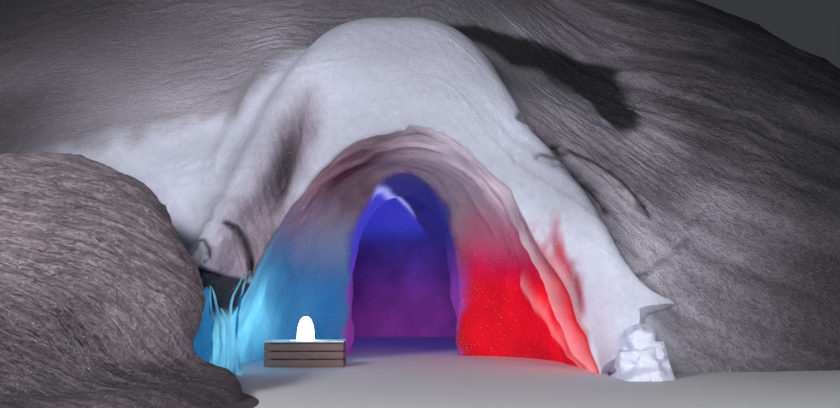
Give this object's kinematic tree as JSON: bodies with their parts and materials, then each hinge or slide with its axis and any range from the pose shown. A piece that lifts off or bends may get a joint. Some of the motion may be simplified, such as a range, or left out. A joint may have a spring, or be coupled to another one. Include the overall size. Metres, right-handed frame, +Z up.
{
  "type": "snow igloo",
  "caption": "Snow igloo dug into a wind-packed mound: rounded hood over an arched mouth, open porch, round-headed doorway and domed room, with a drift bank, a low crate and a lamp.",
  "frame": {"origin": "centre of the bounding box at ground level, about 3.5 m behind the plane of the mouth", "axes": "+X to the right seen from the mouth, +Y into the mound, +Z up"},
  "size_m": [19.5972, 15.4, 6.1152],
  "materials": {
    "packed_snow": "wind-packed snow, matt, fine grained",
    "shell_snow": "hard-packed snow cut smooth, matt",
    "drift_snow": "rippled wind-blown snow, matt",
    "timber": "rough sawn boards, weathered",
    "lamp_glow": "frosted shade, lit from inside"
  },
  "bodies": {
    "root": {"hood_left_cheek": "packed_snow", "hood_left_shoulder": "packed_snow", "hood_crown": "packed_snow", "hood_right_shoulder": "packed_snow", "hood_right_cheek": "packed_snow", "porch_left_wall": "shell_snow", "porch_left_haunch": "shell_snow", "porch_crown": "shell_snow", "porch_right_haunch": "shell_snow", "porch_right_wall": "shell_snow", "door_left_jamb": "shell_snow", "door_head": "shell_snow", "door_right_jamb": "shell_snow", "room_left_wall": "shell_snow", "room_left_haunch": "shell_snow", "room_crown": "shell_snow", "room_right_haunch": "shell_snow", "room_right_wall": "shell_snow", "room_back": "shell_snow", "mound_front_left_foot": "drift_snow", "mound_front_left_slope": "drift_snow", "mound_front_ridge": "drift_snow", "mound_front_right_slope": "drift_snow", "mound_front_right_foot": "drift_snow", "mound_left_flank": "drift_snow", "mound_left_shoulder": "drift_snow", "mound_summit": "drift_snow", "mound_right_shoulder": "drift_snow", "mound_right_flank": "drift_snow", "mound_back_left": "drift_snow", "mound_back_middle": "drift_snow", "mound_back_right": "drift_snow", "bank_nose": "drift_snow", "bank_crest": "drift_snow", "bank_tail": "drift_snow", "right_fin": "packed_snow", "right_horn": "packed_snow", "snow_lump": "drift_snow", "left_bulge": "packed_snow", "left_curtain": "packed_snow", "crate": "timber", "lamp": "lamp_glow"}
  },
  "joints": []
}
